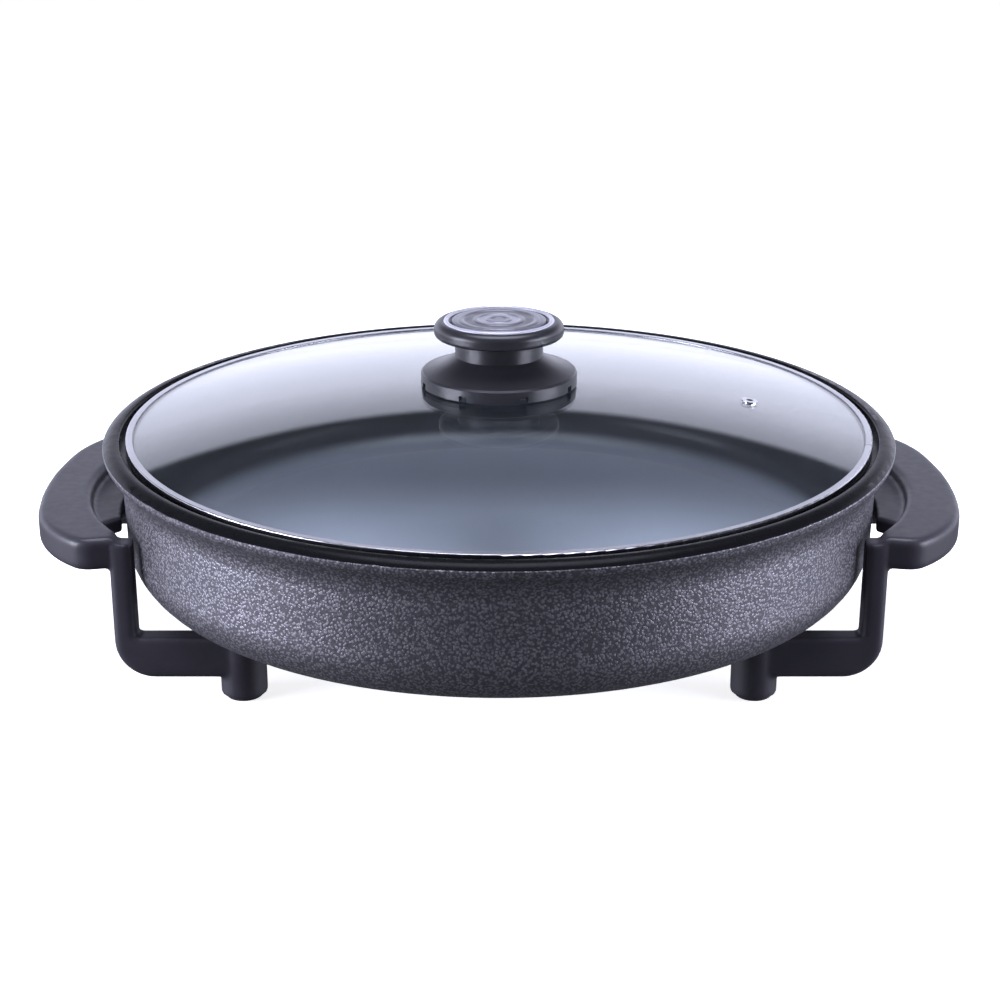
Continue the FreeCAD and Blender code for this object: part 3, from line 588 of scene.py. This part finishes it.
class PAN_OT_handles(Operator):
    """Finish the two moulded handles with their legs"""

    bl_idname = "electric_pan.handles"
    bl_label = "Handles and legs"

    def execute(self, context):
        settings = context.scene.handle_settings
        finish = plastic_finish("bakelite", settings.plastic, settings.roughness).material
        for side in ("left", "right"):
            source = "handle_frame_" + side
            piece = moulded_copy(source, settings.easing, 5)
            settle(piece, "handle_" + side, finish, "base", "bakelite", source)
        return {"FINISHED"}


class PAN_OT_lid(Operator):
    """Finish the glass dome, its rolled steel band and the vent eyelet"""

    bl_idname = "electric_pan.lid"
    bl_label = "Glass lid"

    def execute(self, context):
        settings = context.scene.lid_settings
        dress(glass_finish(settings), "lid_glass")
        dress(polished_finish(settings), "lid_band", "vent_grommet")
        return {"FINISHED"}


class PAN_OT_knob(Operator):
    """Finish the knob and its ringed cap"""

    bl_idname = "electric_pan.knob"
    bl_label = "Knob"

    def execute(self, context):
        settings = context.scene.knob_settings
        dress(plastic_finish("knob_plastic", settings.plastic, 0.35, 0.015, 0.08).material, "knob_skirt")
        top = span("knob_grip")[1].z
        dress(highlighted_knob_finish(settings, settings.crown, top), "knob_grip")
        finish = turned_cap_finish(settings)
        settle(knob_cap(settings), "ringed_cap", finish, "lid", "cap_plastic", "knob_cap")
        return {"FINISHED"}


class PAN_OT_fixings(Operator):
    """Finish the heater, pins, guard, screws, seals and pads"""

    bl_idname = "electric_pan.fixings"
    bl_label = "Fixings"

    def execute(self, context):
        settings = context.scene.metal_settings
        zinc = plated_finish("steel", settings.zinc, 0.24, 0.40)
        dress(
            zinc,
            "inlet_guard",
            "inlet_screws",
            "terminal_pin_left",
            "terminal_pin_right",
            "handle_screws_left",
            "handle_screws_right",
            "foot_bolts",
            "foot_washers",
            "knob_washer",
            "knob_screw",
        )
        dress(plated_finish("heater_sheath", (0.22, 0.20, 0.19), 0.38, 0.55), "heating_element")
        dress(plated_finish("brass", settings.brass, 0.25, 0.4), "knob_insert")
        dress(soft_finish("ceramic", (0.70, 0.68, 0.63), (0.82, 0.80, 0.76), 0.6, 900.0), "element_seals")
        dress(
            soft_finish("silicone", (0.30, 0.30, 0.31), (0.38, 0.38, 0.39), 0.5, 1300.0),
            "knob_gasket_upper",
            "knob_gasket_lower",
        )
        dress(
            soft_finish("rubber", (0.012, 0.012, 0.012), (0.026, 0.026, 0.026), 0.8, 1100.0),
            "foot_pad_front_left",
            "foot_pad_back_left",
            "foot_pad_front_right",
            "foot_pad_back_right",
        )
        return {"FINISHED"}


class PAN_OT_stage(Operator):
    """Lay the floor, hang the soft lights and set the camera"""

    bl_idname = "electric_pan.stage"
    bl_label = "Studio"

    def execute(self, context):
        settings = context.scene.stage_settings
        lay_floor(settings)
        hang_lights()
        light_surround(context.scene)
        set_camera(context.scene)
        context.scene.view_settings.view_transform = "Standard"
        return {"FINISHED"}


def lay_floor(settings):
    bpy.ops.mesh.primitive_circle_add(vertices=96, radius=9.0, fill_type="NGON", location=(0.0, 0.0, 0.0))
    floor = bpy.context.object
    floor.name = "studio_floor"
    made = Finish("studio_floor", Roughness=0.85, Specular_IOR_Level=0.2, Emission_Strength=0.80)
    made.shader.inputs["Emission Color"].default_value = (1.0, 1.0, 1.0, 1.0)
    grain = made.uneven(35.0, 4.0, 0.0, 1.0)
    made.wear(Base_Color=made.blend(grain, toned(settings.floor, 0.985), settings.floor))
    floor.data.materials.append(made.material)
    floor.visible_diffuse = False
    floor.visible_glossy = False


def soft_box(name, place, target, width, height, power, tint=(1.0, 1.0, 1.0)):
    bpy.ops.object.light_add(type="AREA", location=place)
    lamp = bpy.context.object
    lamp.name = name
    lamp.data.shape = "RECTANGLE"
    lamp.data.size = width
    lamp.data.size_y = height
    lamp.data.energy = power
    lamp.data.color = tint
    lamp.rotation_euler = (Vector(target) - Vector(place)).to_track_quat("-Z", "Y").to_euler()
    return lamp


COOL = (0.80, 0.82, 1.0)
# brightness of the surround: (from -1 to 1 along an axis, level)
SURROUND_UP = (
    (-1.0, 0.05),
    (-0.7, 0.20),
    (-0.2, 0.75),
    (0.0, 1.0),
    (0.25, 0.92),
    (0.385, 0.55),
    (0.395, 0.03),
    (1.0, 0.05),
)
SURROUND_ROUND = ((-1.0, 0.04), (-0.75, 0.06), (-0.35, 0.60), (0.10, 0.90), (0.6, 1.0), (1.0, 1.0))
SURROUND_BENEATH = (
    (-1.0, 0.03),
    (-0.75, 0.06),
    (-0.35, 0.60),
    (0.10, 0.90),
    (0.45, 0.50),
    (0.80, 0.12),
    (1.0, 0.10),
)
SURROUND_STRENGTH = 1.9


def hang_lights():
    middle = (0.0, 0.0, 0.08)
    soft_box("overhead", (0.0, 0.10, 1.9), middle, 1.4, 1.0, 34.0, COOL)
    front = soft_box("front_high", (0.0, -1.1, 1.5), middle, 1.0, 0.6, 14.0, COOL)
    front.visible_glossy = False
    soft_box("side_left", (-1.30, -0.50, 0.30), middle, 0.8, 0.7, 28.0, COOL)
    soft_box("side_right", (1.30, -0.40, 0.30), middle, 0.8, 0.7, 17.0, COOL)


def light_surround(scene):
    """Cool pale surround: bright behind and beside the pan up to a sharp edge, dim in front and overhead."""
    world = bpy.data.worlds.new("studio_surround")
    scene.world = world
    world.use_nodes = True
    tree = world.node_tree
    tree.nodes.clear()
    place = tree.nodes.new("ShaderNodeTexCoord")
    split = tree.nodes.new("ShaderNodeSeparateXYZ")
    tree.links.new(place.outputs["Generated"], split.inputs[0])

    def ramp(output, stops):
        half = tree.nodes.new("ShaderNodeMapRange")
        half.inputs["From Min"].default_value = -1.0
        made = tree.nodes.new("ShaderNodeValToRGB")
        rows = made.color_ramp.elements
        while len(rows) < len(stops):
            rows.new(0.5)
        for row, (position, level) in zip(rows, stops):
            row.position = 0.5 * (position + 1.0)
            row.color = (level, level, level, 1.0)
        tree.links.new(split.outputs[output], half.inputs["Value"])
        tree.links.new(half.outputs["Result"], made.inputs["Fac"])
        return made.outputs["Color"]

    upright = ramp("Z", SURROUND_UP)
    around = ramp("Y", SURROUND_ROUND)
    beneath = ramp("Y", SURROUND_BENEATH)
    side = tree.nodes.new("ShaderNodeMapRange")
    side.inputs["From Min"].default_value = -0.30
    side.inputs["From Max"].default_value = -0.06
    tree.links.new(split.outputs["Z"], side.inputs["Value"])

    def mixed(first, second, blend_type="MIX"):
        made = tree.nodes.new("ShaderNodeMix")
        made.data_type = "RGBA"
        made.blend_type = blend_type
        made.inputs[0].default_value = 1.0
        tree.links.new(first, made.inputs[6])
        if isinstance(second, bpy.types.NodeSocket):
            tree.links.new(second, made.inputs[7])
        else:
            made.inputs[7].default_value = second
        return made

    level = mixed(beneath, around)
    tree.links.new(side.outputs["Result"], level.inputs[0])
    both = mixed(upright, level.outputs[2], "MULTIPLY")
    tinted = mixed(both.outputs[2], rgba(COOL), "MULTIPLY")
    shade = tree.nodes.new("ShaderNodeBackground")
    shade.inputs["Strength"].default_value = SURROUND_STRENGTH
    out = tree.nodes.new("ShaderNodeOutputWorld")
    tree.links.new(tinted.outputs[2], shade.inputs["Color"])
    tree.links.new(shade.outputs[0], out.inputs["Surface"])


CAMERA_PLACE = (0.0, -1.0, 0.44065)
CAMERA_DIP = 0.34963


def set_camera(scene):
    bpy.ops.object.camera_add(location=CAMERA_PLACE, rotation=(math.pi / 2 - CAMERA_DIP, 0.0, 0.0))
    camera = bpy.context.object
    camera.name = "camera"
    camera.data.lens = 70.12
    camera.data.sensor_width = 36.0
    camera.data.shift_x = 0.001
    camera.data.shift_y = 0.003
    camera.data.clip_start = 0.02
    scene.camera = camera


# ---- panel ------------------------------------------------------------------

OPERATORS = (
    PAN_OT_stage,
    PAN_OT_body,
    PAN_OT_handles,
    PAN_OT_lid,
    PAN_OT_knob,
    PAN_OT_fixings,
)
GROUPS = {
    "pan_settings": PanSettings,
    "handle_settings": HandleSettings,
    "lid_settings": LidSettings,
    "knob_settings": KnobSettings,
    "metal_settings": MetalSettings,
    "stage_settings": StageSettings,
}


class PAN_PT_sidebar(Panel):
    """Sizes, colours and steps of the electric pan"""

    bl_idname = "PAN_PT_sidebar"
    bl_label = "Electric pan"
    bl_space_type = "VIEW_3D"
    bl_region_type = "UI"
    bl_category = "Electric pan"

    def draw(self, context):
        layout = self.layout
        for name, group in GROUPS.items():
            box = layout.box()
            for field in group.__annotations__:
                box.prop(getattr(context.scene, name), field)
        for operator in OPERATORS:
            layout.operator(operator.bl_idname)


def register():
    for group in GROUPS.values():
        bpy.utils.register_class(group)
    for name, group in GROUPS.items():
        setattr(bpy.types.Scene, name, PointerProperty(type=group))
    for made in (*OPERATORS, PAN_PT_sidebar):
        bpy.utils.register_class(made)


def unregister():
    for made in (PAN_PT_sidebar, *reversed(OPERATORS)):
        bpy.utils.unregister_class(made)
    for name, group in GROUPS.items():
        delattr(bpy.types.Scene, name)
        bpy.utils.unregister_class(group)


def main():
    register()
    for operator in OPERATORS:
        group, name = operator.bl_idname.split(".")
        getattr(getattr(bpy.ops, group), name)()


if __name__ == "__main__":
    main()
